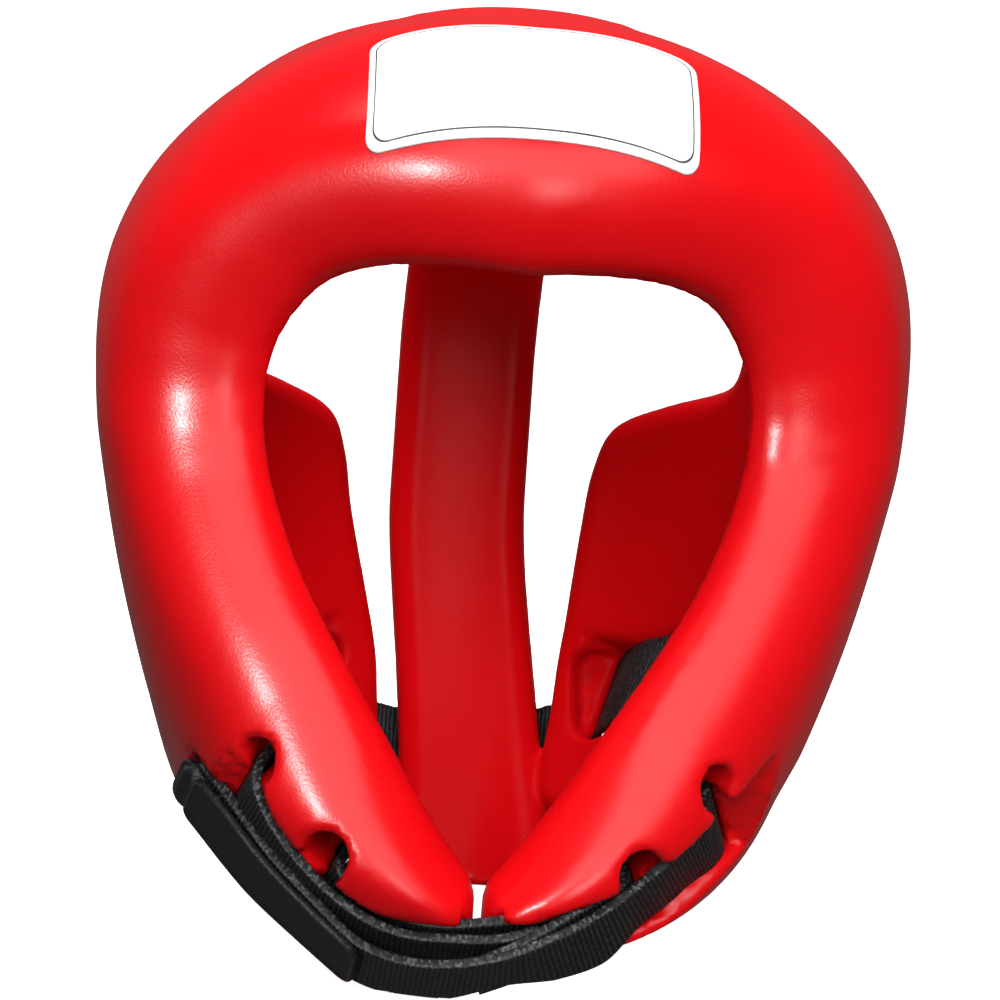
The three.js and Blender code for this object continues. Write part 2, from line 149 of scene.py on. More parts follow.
LEFT_ROUTE = [
    [11.3, -52.4, 17.2, 0.05, 0.87, -0.48],
    [3.5, -53.1, 17.6, 0, 0.87, -0.48],
    [-5.9, -53.6, 17.6, 0, 0.87, -0.48],
    [-12.9, -53.1, 17.6, -0.1, 0.87, -0.48],
    [-18, -51.8, 18, -0.2, 0.85, -0.48],
    [-20.7, -50, 18, -0.25, 0.84, -0.48],
    [-21.6, -49.2, 8, -0.25, 0.82, -0.5],
    [-23.8, -48, -2.6, -0.36, 0.66, -0.66],
    [-28, -45.5, -2.6, -0.5, 0.5, -0.7],
    [-32, -43, -2.6, -0.5, 0.45, -0.74],
    [-31.8, -41.8, 14, -0.3, 0.6, -0.74],
    [-30, -43.3, 23.4, -0.26, 0.76, -0.6],
    [-28.4, -46, 24.2, -0.2, 0.82, -0.52],
    [-22.9, -50.2, 23.6, -0.12, 0.86, -0.48],
    [-16.9, -52.9, 22, -0.05, 0.87, -0.48],
    [-11.5, -54.1, 20.4, 0, 0.87, -0.48],
    [-4, -54.3, 20.4, 0, 0.87, -0.48],
    [3.5, -54.1, 20.4, 0, 0.87, -0.48],
    [9, -53.2, 20.2, 0.05, 0.87, -0.48],
]
LEFT_SLOTS = (6, 10)
TAB_ROUTE = [
    [-40.4, -44.4, 24.4, -0.15, 0.85, -0.5],
    [-35.1, -46.5, 25.2, -0.15, 0.85, -0.5],
    [-29.7, -49.4, 25.8, -0.12, 0.86, -0.5],
    [-23.4, -52.4, 25.8, -0.08, 0.87, -0.48],
    [-17, -55.3, 25.6, -0.04, 0.87, -0.48],
]
REAR_ROUTE = [
    [134, -36.4, 1.4, -0.36, -0.2, -1],
    [142, -37.4, 1.4, -0.36, -0.2, -1],
    [148.5, -38.4, 8, -0.34, -0.2, -1],
    [154, -41, 17.2, -0.2, -0.22, -1],
    [161, -44.2, 17.2, -0.08, -0.24, -1],
    [170, -46.2, 17.2, 0, -0.26, -1],
    [180, -46.8, 17.2, 0, -0.26, -1],
]
REAR_SLOTS = (2, 10)
# Ribs and edge loops of the webbing; the loop value sets how much paler the loops are painted, a painted
# highlight.
RIB = {"pitch": 1.3, "height": 0.42, "columns": 10, "chevron": 0.12, "rows_per_rib": 4, "loop": 0.45,
       "painted_loop_highlight": 1.7, "edge_faces": (-0.6, 0, 0.6), "edge_power": 12}

# Forehead label: size, and elevations of its corners, with edges that bow up in the middle.
LABEL = {"width": 79.4, "height": 33, "corner": 4, "low": 29.8, "low_bow": 3.1,
         "high": 46.6, "high_bow": 8.4, "middle": -2, "outline_step": 2, "rounds": 8}
LABEL_PROFILE = [
    # depth in from the outline, height
    [0, 0],
    [0, 0.6],
    [0.25, 0.75],
    [1.5, 0.75],
    [1.85, 0.75],
    [4, 0.75],
    [7, 0.75],
    [11, 0.75],
]
LABEL_LINE = 3  # the dark line runs between this row of the profile and the next
TAB_PROFILE = [
    # depth in from the outline, height
    [0, -0.9],
    [0.3, 0.35],
    [0.5, 0.55],
    [0.75, 0.65],
    [1, 0.55],
    [1.2, 0.35],
    [1.6, 0.25],
    [4, 0.25],
]
TAB_ROWS = {0: 2, 2: 1, 3: 1}  # materials of rows of the profile: 2 for the pile round it, 1 for the rim
TAB_CORNER = 3.5
TAB_OUTLINE_STEP = 1.5
LABEL_RINGS = 8
TAB_RINGS = 14
PLATE_INMOST = 0.01  # share of a plate's outline that its inmost ring has
CORNER_POINTS = 10

# The folded end of the outer strap beyond the tab, its frayed threads and the fuzz of the woven edges.
FOLD = {"reach": 5, "half_thick": 2.6, "width": 22, "back": 0.6, "out": 1.6, "around": 24, "rows": 15,
        "power": 6, "tip": 0.05, "ribs": 6}
FIBRE = {"steps": 4, "sides": 3, "bend": 0.35, "taper": 0.6, "darkest": 0.3}
THREADS = {"shortest": 1.5, "longest": 5, "radius": 0.1, "way": (0, -0.5, 1), "in_from_edge": 1.5,
           "depths": (-1, 0.5), "scatter": 0.45}
TUFTS = [
    # threads, middle along the strap from its end, spread
    [70, -3.5, 1],
    [90, 4.5, 2.4],
]
FUZZ = {"per_mm": 7, "shortest": 0.6, "longest": 1.6, "radius": 0.06, "scatter": 0.8}

# Grid that the foam's skin is read from, fine only near the skin, and how points move onto the skin.
GRID = {"low": (-110.0, -115.0, -6.0), "high": (110.0, 118.0, 256.0), "step": 1.84, "quick_step": 3.0,
        "coarse": 4, "near": 1.6, "batch": 200000}
ONTO_SKIN = {"rounds": 2, "nudge": 0.05, "most": 1.0, "least_slope": 0.2}
FLOOR_ROUND = 0.5
LOWEST = 0.1
INNER_SKIN = (-0.2, 0.5)  # how far the skin faces inwards where the cavity's duller skin begins and is full

# Looks: ramps are lists of a place and a colour or grey, bumps are a strength and a depth in metres.
FOAM_LOOK = {
    "tint_scale": 14,
    "tint": [(0.3, (0.66, 0.002, 0.005)), (0.7, (0.74, 0.003, 0.006))],
    "wear_scale": 40,
    "roughness": [(0.35, 0.26), (0.75, 0.33)],
    "pore_scale": 1500,
    "pore_bump": (0.12, 0.0004),
    "specular": [(0, 0.18), (1, 0.02)],
}
# The webbing's colour ramp runs from painted shade in rib valleys to painted highlights on rib tops and
# edge loops.
WEBBING_LOOK = {
    "color": [(0.25, (0.002, 0.002, 0.003)), (0.6, (0.05, 0.052, 0.056)), (1, (0.1, 0.104, 0.108))],
    "yarn_scale": 900,
    "yarn_bump": (0.5, 0.0004),
    "roughness": 0.55,
    "specular": 0.2,
}
TAB_LOOK = {
    "patch": [(0.55, (0.006, 0.006, 0.007)), (0.8, (0.03, 0.03, 0.032))],
    "rim": [(0.55, (0.05, 0.05, 0.052)), (0.8, (0.1, 0.1, 0.105))],
    "dust_scale": 700,
    "dust_bump": (0.15, 0.0002),
    "roughness": [(0.3, 0.42), (0.8, 0.6)],
    "specular": 0.2,
}
LABEL_LOOK = {
    "sheet": [(0.3, (0.84, 0.84, 0.85)), (0.7, (0.9, 0.9, 0.9))],
    "line": [(0.3, 0.02), (0.7, 0.035)],
    "cloud_scale": 90,
    "roughness": [(0.3, 0.3), (0.7, 0.4)],
}
FLOOR_LOOK = {"color": [(0.3, 0.9), (0.7, 0.94)], "grain_scale": 300, "roughness": 0.9, "glow": 0.88}

# Studio
BACKDROP = {"radius": 3100, "bend": 900, "top": 4000, "inmost": 1, "below": 0.3, "around": 96,
            "bend_steps": 24}
WORLD_LIGHT = 0.12
MIDDLE = (0, 0, 0.13)
LIGHTS = [
    # name, place, aim, size, watts, lights the skin or only shows as a highlight
    ["front_box", (0.2, -1.65, 0.92), MIDDLE, (1.9, 1.2), 46, True],
    ["left_spot", (-0.74, -1.5, 0.24), MIDDLE, (0.05, 0.08), 46, False],
    ["right_box", (0.24, -1.7, 0.05), MIDDLE, (0.2, 0.5), 10, False],
    ["top_box", (-0.35, -0.3, 1.6), MIDDLE, (0.8, 0.8), 23, True],
    ["back_box", (0, 0.7, 1.3), (0, 3.1, 0.3), (3.0, 0.8), 30, True],
]


# Head form

def direction(azimuth, elevation):
    around = np.radians(np.asarray(azimuth, float))
    up = np.radians(np.asarray(elevation, float))
    return np.stack([np.sin(around) * np.cos(up), -np.cos(around) * np.cos(up), np.sin(up)], -1)


def unit(vectors):
    return vectors / np.linalg.norm(vectors, axis=-1, keepdims=True)


def half_lengths(y, z):
    return np.where(y < 0, HEAD["front"], HEAD["back"]), np.where(z > 0, HEAD["top"], HEAD["bottom"])


def narrowing(z):
    """How narrow the form is at a level, and how fast that changes with depth."""
    below = np.clip((HEAD["middle"] - z) / NARROWING["reach"], 0, NARROWING["most"])
    share = NARROWING["share"]
    return 1 - share * below ** 3, 3 * share * below ** 2 / NARROWING["reach"]


def on_head(way):
    """Points of the head form along ways from its middle."""
    deep, high = half_lengths(way[..., 1], way[..., 2])
    sizes = np.stack([np.full_like(deep, HEAD["side"]), deep, high], -1)
    radius = (np.abs(way / sizes) ** HEAD["power"]).sum(-1) ** (-1 / HEAD["power"])
    point = way * radius[..., None]
    point[..., 2] += HEAD["middle"]
    point[..., 0] *= narrowing(point[..., 2])[0]
    return point


def way_to(point):
    narrow = narrowing(point[..., 2])[0]
    return unit(np.stack([point[..., 0] / narrow, point[..., 1], point[..., 2] - HEAD["middle"]], -1))


def outward(point):
    """Unit ways square to the head form at points on it."""
    narrow, slope = narrowing(point[..., 2])
    x = point[..., 0] / narrow
    y = point[..., 1]
    z = point[..., 2] - HEAD["middle"]
    deep, high = half_lengths(y, z)
    pull = [np.sign(v) * np.abs(v / size) ** (HEAD["power"] - 1) / size
            for v, size in ((x, HEAD["side"]), (y, deep), (z, high))]
    return unit(np.stack([pull[0] / narrow, pull[1], pull[2] - pull[0] * x * slope / narrow], -1))


def over_head(azimuth, elevation, height):
    point = on_head(direction(azimuth, elevation))
    return point + outward(point) * np.asarray(height, float)[..., None]


def foot_of(point):
    """The point of the head form straight below each point, and the height above it."""
    foot = on_head(way_to(point))
    for _ in range(FOOT_ROUNDS):
        out = outward(foot)
        height = ((point - foot) * out).sum(-1)
        foot = on_head(way_to(point - out * height[..., None]))
    height = ((point - foot) * outward(foot)).sum(-1)
    return foot, height


# Small maths

def smoothstep(value, low, high):
    share = np.clip((value - low) / (high - low), 0, 1)
    return share * share * (3 - 2 * share)


def lerp(first, second, share):
    return first + (second - first) * share


def round_max(first, second, radius):
    """The larger of two distances, with a round edge where they meet."""
    over_first = np.maximum(first + radius, 0)
    over_second = np.maximum(second + radius, 0)
    return np.minimum(np.maximum(first, second), -radius) + np.hypot(over_first, over_second)


def soft_min(first, second, size):
    share = np.clip(0.5 + 0.5 * (second - first) / size, 0, 1)
    return lerp(second, first, share) - size * share * (1 - share)


def soft_max(first, second, size):
    return -soft_min(-first, -second, size)


def through_rows(rows, steps):
    """A smooth curve through all rows but the first and last, with steps between two rows."""
    share = np.linspace(0, 1, steps, endpoint=False)[:, None]
    pieces = []
    for a, b, c, d in zip(rows[:-3], rows[1:-2], rows[2:-1], rows[3:]):
        pieces.append(0.5 * (2 * b + (c - a) * share + (2 * a - 5 * b + 4 * c - d) * share ** 2
                             + (3 * b - a - 3 * c + d) * share ** 3))
    pieces.append(rows[-2][None])
    return np.vstack(pieces)


# Foam shell as a field: negative inside the foam, about zero on its skin

class FoamFields:
    """Distances to the lip and to the far edge, and the section heights, by azimuth and elevation."""

    def __init__(self):
        ghost = SECTIONS[1] * [-1, 1, -1, 1, 1, 1, 1]
        rows = through_rows(np.vstack([ghost, SECTIONS, 2 * SECTIONS[-1] - SECTIONS[-2]]), SECTION_STEPS)
        lip = np.vstack([rows[:, :2], LOBE_END])
        edge = np.vstack([rows[:, 2:4], LOBE_END[-1:]])
        self.azimuths = np.arange(0, 180 + FIELD_STEP, FIELD_STEP)
        self.elevations = np.arange(-90, 90 + FIELD_STEP, FIELD_STEP)
        azimuth, elevation = np.meshgrid(self.azimuths, self.elevations, indexing="ij")
        inside = self.in_outline(np.vstack([lip, edge[::-1]]), azimuth, elevation)
        places = on_head(direction(azimuth, elevation))
        to_lip = self.distance_to(lip, places)
        to_edge = self.distance_to(edge, places)
        lip_is_near = to_lip < to_edge
        self.lip = np.where(~inside & lip_is_near, -to_lip, to_lip)
        self.edge = np.where(~inside & ~lip_is_near, -to_edge, to_edge)
        section = self.nearest_section(rows, azimuth, elevation)
        self.heights = [self.blurred(rows[section, column]) for column in SECTION_HEIGHTS]
        up = smoothstep(elevation, FALL["from"], FALL["to"])
        self.heights.append(lerp(FALL["low"], FALL["high"], up))

    @staticmethod
    def in_outline(outline, azimuth, elevation):
        inside = np.zeros(azimuth.shape, bool)
        for (x0, y0), (x1, y1) in zip(outline, np.roll(outline, -1, axis=0)):
            crosses = (y0 > elevation) != (y1 > elevation)
            if y1 != y0:
                inside ^= crosses & (azimuth < x0 + (elevation - y0) * (x1 - x0) / (y1 - y0))
        return inside

    @staticmethod
    def distance_to(line, places):
        points = on_head(direction(line[:, 0], line[:, 1]))
        least = np.full(places.shape[:-1], np.inf)
        for start, end in zip(points[:-1], points[1:]):
            along = end - start
            share = np.clip(((places - start) @ along) / max(along @ along, TINY), 0, 1)
            least = np.minimum(least, np.linalg.norm(places - start - share[..., None] * along, axis=-1))
        return least

    @staticmethod
    def nearest_section(rows, azimuth, elevation):
        best = np.full(azimuth.shape, np.inf)
        index = np.zeros(azimuth.shape, int)
        for i, (lip_az, lip_el, edge_az, edge_el) in enumerate(rows[:, :4]):
            way = np.array([edge_az - lip_az, edge_el - lip_el])
            along = (azimuth - lip_az) * way[0] + (elevation - lip_el) * way[1]
            share = np.clip(along / (way @ way), 0, 1)
            off = np.hypot(azimuth - lip_az - share * way[0], elevation - lip_el - share * way[1])
            index[off < best] = i
            best = np.minimum(best, off)
        return index

    @staticmethod
    def blurred(values):
        reach = FIELD_BLUR["reach"]
        width = 2 * reach + 1
        for _ in range(FIELD_BLUR["rounds"]):
            padded = np.pad(values, reach, mode="edge")
            values = sum(padded[i:i + values.shape[0], reach:-reach] for i in range(width)) / width
            padded = np.pad(values, reach, mode="edge")
            values = sum(padded[reach:-reach, i:i + values.shape[1]] for i in range(width)) / width
        return values

    def at(self, azimuth, elevation):
        """Distance from the lip, from the edge, ridge height, edge height, taper and fall at places."""
        behind = smoothstep(-azimuth, LEFT_WING["from"], LEFT_WING["to"])
        behind = behind * smoothstep(-elevation, LEFT_WING["high"], LEFT_WING["low"])
        turned = np.abs(azimuth) - LEFT_WING["by"] * behind
        column = np.clip(turned / FIELD_STEP, 0, len(self.azimuths) - IN_LAST_CELL)
        row = np.clip((elevation + 90) / FIELD_STEP, 0, len(self.elevations) - IN_LAST_CELL)
        i = column.astype(int)
        j = row.astype(int)
        u = column - i
        v = row - j
        found = []
        for values in (self.lip, self.edge, *self.heights):
            lower = lerp(values[i, j], values[i + 1, j], u)
            upper = lerp(values[i, j + 1], values[i + 1, j + 1], u)
            found.append(lerp(lower, upper, v))
        return found


FIELDS = FoamFields()


def angles_of(foot):
    way = way_to(foot)
    azimuth = np.degrees(np.arctan2(way[..., 0], -way[..., 1]))
    return azimuth, np.degrees(np.arcsin(np.clip(way[..., 2], -1, 1)))


def outer_height(from_lip, from_edge, ridge, edge, taper, behind):
    """Height of the outer face: it swells from the lip to the ridge and falls away behind it."""
    length = np.maximum(from_lip + from_edge - EDGE["round"], 1)
    top = np.minimum(RIDGE["from_lip"], length * RIDGE["most"])
    rise = ridge - (ridge - LIP["height"]) * np.clip(1 - from_lip / top, 0, RIDGE["past_lip"]) ** 2
    fall = lerp(ridge, edge, smoothstep(from_lip, top, np.minimum(top + behind, length)))
    height = np.where(from_lip < top, rise, fall)
    near_edge = 1 - np.clip(from_edge / EDGE["taper_length"], 0, 1)
    thin = EDGE["tip"] + (1 - EDGE["tip"]) * np.sqrt(1 - near_edge ** 2)
    return height * lerp(1, thin, taper)


def ring_field(foot, height):
    from_lip, from_edge, ridge, edge, taper, behind = FIELDS.at(*angles_of(foot))
    outer = height - outer_height(from_lip, from_edge, ridge, edge, taper, behind)
    edge_round = lerp(EDGE["round"], EDGE["tapered_round"], taper)
    parts = [round_max(-height, -from_lip, LIP["round"]), round_max(outer, -from_lip, LIP["round"]),
             round_max(-height, -from_edge, edge_round), round_max(outer, -from_edge, edge_round)]
    return np.maximum.reduce(parts)


def strip_field(foot, height):
    way = way_to(foot)
    angle = np.degrees(np.arctan2(way[..., 2], -way[..., 1]))
    angle = np.where(angle < STRIP_TURN, angle + 360, angle)
    leaning = smoothstep(angle, STRIP_LEANS["from"], STRIP_LEANS["to"])
    lean = STRIP_LEANS["start"] + STRIP_LEANS["by"] * leaning
    half = lerp(STRIP["crown_half"], STRIP["half"], smoothstep(angle, *STRIP_NARROWS))
    radius = np.hypot(foot[..., 1], foot[..., 2] - HEAD["middle"])
    to_side = np.abs(foot[..., 0] - lean) - half
    to_end = np.radians(angle - STRIP["to"]) * radius
    outline = round_max(to_side, to_end, STRIP["end_round"])
    body = np.maximum(round_max(-height, outline, STRIP_ROUND["inner"]),
                      round_max(height - STRIP["height"], outline, STRIP_ROUND["outer"]))
    return np.maximum(body, np.radians(STRIP["from"] - angle) * radius)


class Mouth:
    """The dished mouth of a slot, deepest where the strap dips in and shallow at its far side."""

    def __init__(self, centre, far, sizes, inside=False):
        out = outward(foot_of(centre[None])[0])[0]
        self.centre = centre
        self.far = unit(far - out * (far @ out))
        self.along = np.cross(out, self.far)
        self.sizes = sizes
        self.face = -1 if inside else 1

    def cut(self, points, height, field):
        """The field with this mouth taken out of the foam."""
        sizes = self.sizes
        off = points - self.centre
        to_far = off @ self.far
        along = np.maximum(np.abs(off @ self.along) - (sizes["long"] - sizes["wide"]) / 2, 0)
        across = np.hypot(along, to_far) - sizes["wide"] / 2
        slope = sizes["rise"] / sizes["wide"]
        below = self.face * (sizes["deepest"] - height) + slope * (to_far + sizes["wide"] / 2)
        beyond = np.linalg.norm(off, axis=-1) - sizes["reach"]
        mouth = np.maximum.reduce([across, below / math.hypot(1, slope), beyond])
        return soft_max(field, -mouth, sizes["soft"])


def cheek_mouths():
    made = []
    for azimuth, elevation, x, y, z, length, width, rise in CHEEK_MOUTHS:
        sizes = {**CHEEK_MOUTH, "long": length, "wide": width, "rise": rise}
        for side in (1, -1):
            height = outer_height(*FIELDS.at(np.array(azimuth), np.array(elevation)))
            centre = over_head(side * azimuth, elevation, height)
            made.append(Mouth(centre, np.array([side * x, y, z]), sizes))
    return made


def rear_mouths(course):
    """Recesses inside the wings, where the rear strap comes through."""
    made = []
    for row, end in zip(course.slots, (0, len(course.edge) - 1)):
        centre = course.at(np.array([float(row)]))[0][0]
        along = course.at(np.array([float(end)]))[1][0]
        far = along if end == 0 else -along
        made.append(Mouth(centre + far * REAR_MOUTH["past_strap"], far, REAR_MOUTH, inside=True))
    return made


class Groove:
    """Room for one stretch of a strap, open above it where the strap lies flat on the foam."""

    def __init__(self, course, first, last, inside):
        stations = course.by_length(GROOVE["sample"])[0]
        stations = stations[(stations >= first) & (stations <= last)]
        centre, along, wide, up = course.at(stations)
        facing = (up * outward(foot_of(centre)[0])).sum(-1, keepdims=True)
        away = up * np.sign(facing) * (-1 if inside else 1)
        lying = np.abs(facing) > GROOVE["lying"]
        self.half = course.width / 2
        self.thick = course.thickness / 2
        shares = np.arange(-self.half, self.half + GROOVE["sample"] / 2, GROOVE["sample"])
        self.places = np.vstack([centre + wide * across for across in shares])
        self.ways = [np.tile(way, (len(shares), 1)) for way in (along, wide, away)]
        self.lying = np.tile(lying[:, 0], len(shares))
        self.across = np.repeat(shares, len(centre))
        self.low = self.places.min(0) - GROOVE["reach"]
        self.high = self.places.max(0) + GROOVE["reach"]
        self.tree = kdtree.KDTree(len(self.places))
        for i, place in enumerate(self.places):
            self.tree.insert(place, i)
        self.tree.balance()

    def cut(self, points, field):
        """The field with this room taken out of the foam."""
        in_box = ((points > self.low) & (points < self.high)).all(1)
        near = np.flatnonzero(in_box & (np.abs(field) < GROOVE["reach"]))
        if not len(near):
            return field
        nearest = [self.tree.find(point)[1] for point in points[near]]
        off = points[near] - self.places[nearest]
        along, wide, away = ((off * way[nearest]).sum(-1) for way in self.ways)
        to_side = np.abs(wide + self.across[nearest]) - self.half
        to_face = np.where(self.lying[nearest], -away, np.abs(away)) - self.thick
        past_end = np.abs(along) - GROOVE["sample"]
        room = np.maximum.reduce([to_side, to_face, past_end]) - GROOVE["room"]
        field[near] = soft_max(field[near], -room, GROOVE["soft"])
        return field


# Straps

class Course:
    """A strap's path: its edge line and the way of its width, smooth along the route."""

    def __init__(self, route, webbing, slots=(), ends_inside=False):
        table = np.array(route, float)
        self.edge = over_head(table[:, 0], table[:, 1], table[:, 2])
        self.ways = unit(table[:, 3:])
        self.width = webbing["width"]
        self.thickness = webbing["thickness"]
        self.slots = slots
        self.ends_inside = ends_inside
        fine = np.linspace(0, len(route) - 1, COURSE["samples"] * len(route))
        line = self.spline(self.edge, fine)
        self.lengths = np.concatenate([[0], np.cumsum(np.linalg.norm(np.diff(line, axis=0), axis=1))])
        self.stations = fine

    @staticmethod
    def spline(points, stations):
        """Centripetal curve through points, at places counted in points from the first."""
        ends = np.vstack([2 * points[0] - points[1], points, 2 * points[-1] - points[-2]])
        i = np.clip(stations.astype(int), 0, len(points) - 2)
        a, b, c, d = (ends[i + k] for k in range(4))
        gaps = []
        for p, q in ((a, b), (b, c), (c, d)):
            apart = np.maximum(np.linalg.norm(q - p, axis=1), TINY)
            gaps.append(apart[:, None] ** 0.5)
        start = ((b - a) / gaps[0] - (c - a) / (gaps[0] + gaps[1]) + (c - b) / gaps[1]) * gaps[1]
        end = ((c - b) / gaps[1] - (d - b) / (gaps[1] + gaps[2]) + (d - c) / gaps[2]) * gaps[1]
        t = (stations - i)[:, None]
        return (b + start * t + (3 * (c - b) - 2 * start - end) * t ** 2
                + (2 * (b - c) + start + end) * t ** 3)

    def at(self, stations):
        """Centre, way along, way of the width and way of the thickness at stations of the route."""
        nudge = COURSE["nudge"]
        wide = unit(self.spline(self.ways, stations))
        along = self.spline(self.edge, np.clip(stations + nudge, 0, self.stations[-1]))
        along = unit(along - self.spline(self.edge, np.clip(stations - nudge, 0, self.stations[-1])))
        up = unit(np.cross(along, wide))
        return self.spline(self.edge, stations) + wide * self.width / 2, along, wide, up

    def by_length(self, step):
        count = max(int(self.lengths[-1] / step), 2)
        lengths = np.linspace(0, self.lengths[-1], count + 1)
        return np.interp(lengths, self.lengths, self.stations), lengths

    def grooves(self):
        """Room for each stretch of the strap, in turn outside and inside the foam."""
        ends = [0, *self.slots, self.stations[-1]]
        inside = self.ends_inside
        made = []
        for first, last in zip(ends[:-1], ends[1:]):
            made.append(Groove(self, first, last, inside))
            inside = not inside
        return made


rear_left = [[360 - azimuth, elevation, height, -x, y, z]
             for azimuth, elevation, height, x, y, z in REAR_ROUTE[-2::-1]]
COURSES = {
    "chin_strap_left": Course(LEFT_ROUTE, WEBBING, LEFT_SLOTS),
    "chin_strap_right": Course(RIGHT_ROUTE, WEBBING, RIGHT_SLOTS),
    "hook_tab": Course(TAB_ROUTE, TAB),
    "rear_strap": Course(REAR_ROUTE + rear_left, REAR_WEBBING, REAR_SLOTS, ends_inside=True),
}
GROOVES = [groove for course in COURSES.values() for groove in course.grooves()]
MOUTHS = cheek_mouths() + rear_mouths(COURSES["rear_strap"])


def foam_field(points):
    foot, height = foot_of(points)
    field = soft_min(ring_field(foot, height), strip_field(foot, height), STRIP_JOIN)
    for mouth in MOUTHS:
        field = mouth.cut(points, height, field)
    for groove in GROOVES:
        field = groove.cut(points, field)
    return round_max(field, -points[:, 2], FLOOR_ROUND)


def in_batches(function, points):
    size = GRID["batch"]
    return np.concatenate([function(points[i:i + size]) for i in range(0, len(points), size)])


def sampled_foam(step):
    """The field on a grid of the given step. Away from the skin it is only rough."""
    low = np.array(GRID["low"])
    coarse = GRID["coarse"]
    coarse_step = coarse * step
    counts = np.ceil((np.array(GRID["high"]) - low) / coarse_step).astype(int)
    axes = [low[k] + coarse_step * np.arange(counts[k] + 1) for k in range(3)]
    rough = np.stack(np.meshgrid(*axes, indexing="ij"), -1).reshape(-1, 3)
    fine = in_batches(foam_field, rough).reshape(counts + 1)
    for axis in range(3):
        length = fine.shape[axis]
        place = np.arange(coarse * (length - 1) + 1) / coarse
        lower = np.minimum(place.astype(int), length - 2)
        share = (place - lower).reshape([-1 if k == axis else 1 for k in range(3)])
        fine = lerp(np.take(fine, lower, axis), np.take(fine, lower + 1, axis), share)
    near = np.argwhere(np.abs(fine) < GRID["near"] * coarse_step)
    fine[tuple(near.T)] = in_batches(foam_field, low + near * step)
    return fine, low


def skin_of(values, low, step):
    """Quads and points of the zero surface of a grid of values."""
    sums = np.zeros([n - 1 for n in values.shape] + [3])
    counts = np.zeros([n - 1 for n in values.shape], int)
    crossings = []
    for axis in range(3):
        first = np.take(values, range(values.shape[axis] - 1), axis)
        second = np.take(values, range(1, values.shape[axis]), axis)
        edges = np.argwhere((first < 0) != (second < 0))
        others = [k for k in range(3) if k != axis]
        limit = np.array(values.shape)
        keep = np.all((edges[:, others] > 0) & (edges[:, others] < limit[others] - 1), axis=1)
        edges = edges[keep]
        a = first[tuple(edges.T)]
        share = a / (a - second[tuple(edges.T)])
        place = edges.astype(float)
        place[:, axis] += share
        cells = []
        for i, j in ((0, 0), (1, 0), (1, 1), (0, 1)):
            cell = edges.copy()
            cell[:, others[0]] -= i
            cell[:, others[1]] -= j
            np.add.at(sums, tuple(cell.T), place)
            np.add.at(counts, tuple(cell.T), 1)
            cells.append(cell)
        crossings.append((cells, (a < 0) == (axis == 1)))
    used = np.argwhere(counts > 0)
    index = np.full(counts.shape, -1)
    index[tuple(used.T)] = np.arange(len(used))
    points = low + step * sums[tuple(used.T)] / counts[tuple(used.T)][:, None]
    quads = []
    for cells, flip in crossings:
        quad = np.stack([index[tuple(cell.T)] for cell in cells], 1)
        quads.append(np.where(flip[:, None], quad[:, ::-1], quad))
    return points, np.vstack(quads)


def onto_skin(points):
    """Moves points onto the zero surface of the foam's field."""
    nudge = ONTO_SKIN["nudge"]
    for _ in range(ONTO_SKIN["rounds"]):
        value = in_batches(foam_field, points)
        nudged = [in_batches(foam_field, points + nudge * axis) for axis in np.eye(3)]
        slope = np.stack([(there - value) / nudge for there in nudged], -1)
        move = -value / np.maximum((slope ** 2).sum(-1), ONTO_SKIN["least_slope"])
        step = slope * move[:, None]
        size = np.linalg.norm(step, axis=1, keepdims=True)
        points = points + step * np.minimum(1, ONTO_SKIN["most"] / np.maximum(size, TINY))
    return points


# Blender objects

def new_object(name, points, faces):
    """A smooth mesh object from points in millimetres."""
    mesh = bpy.data.meshes.new(name)
    mesh.from_pydata((np.asarray(points) * MM).tolist(), [], [list(map(int, face)) for face in faces])
    mesh.validate()
    mesh.polygons.foreach_set("use_smooth", [True] * len(mesh.polygons))
    mesh.update()
    made = bpy.data.objects.new(name, mesh)
    bpy.context.scene.collection.objects.link(made)
    return made


def add_values(made, name, values):
    """Keeps one number per point in the mesh, for its material."""
    layer = made.data.attributes.new(name, "FLOAT", "POINT")
    layer.data.foreach_set("value", np.asarray(values, np.float32))


def leaned(points):
    """Points with the crown's slight lean to one side."""
    share = smoothstep(points[:, 2], CROWN_LEANS["from"], CROWN_LEANS["to"])
    return points + np.outer(share, [CROWN_LEANS["by"], 0, 0])


def shell():
    step = GRID["step"]
    values, low = sampled_foam(step)
    points, quads = skin_of(values, low, step)
    points = onto_skin(points)
    made = new_object("foam_shell", leaned(points), quads)
    facing = np.zeros(3 * len(points))
    made.data.vertex_normals.foreach_get("vector", facing)
    inwards = -(facing.reshape(-1, 3) * outward(foot_of(points)[0])).sum(-1)
    add_values(made, "inner", smoothstep(inwards, *INNER_SKIN))
    return made


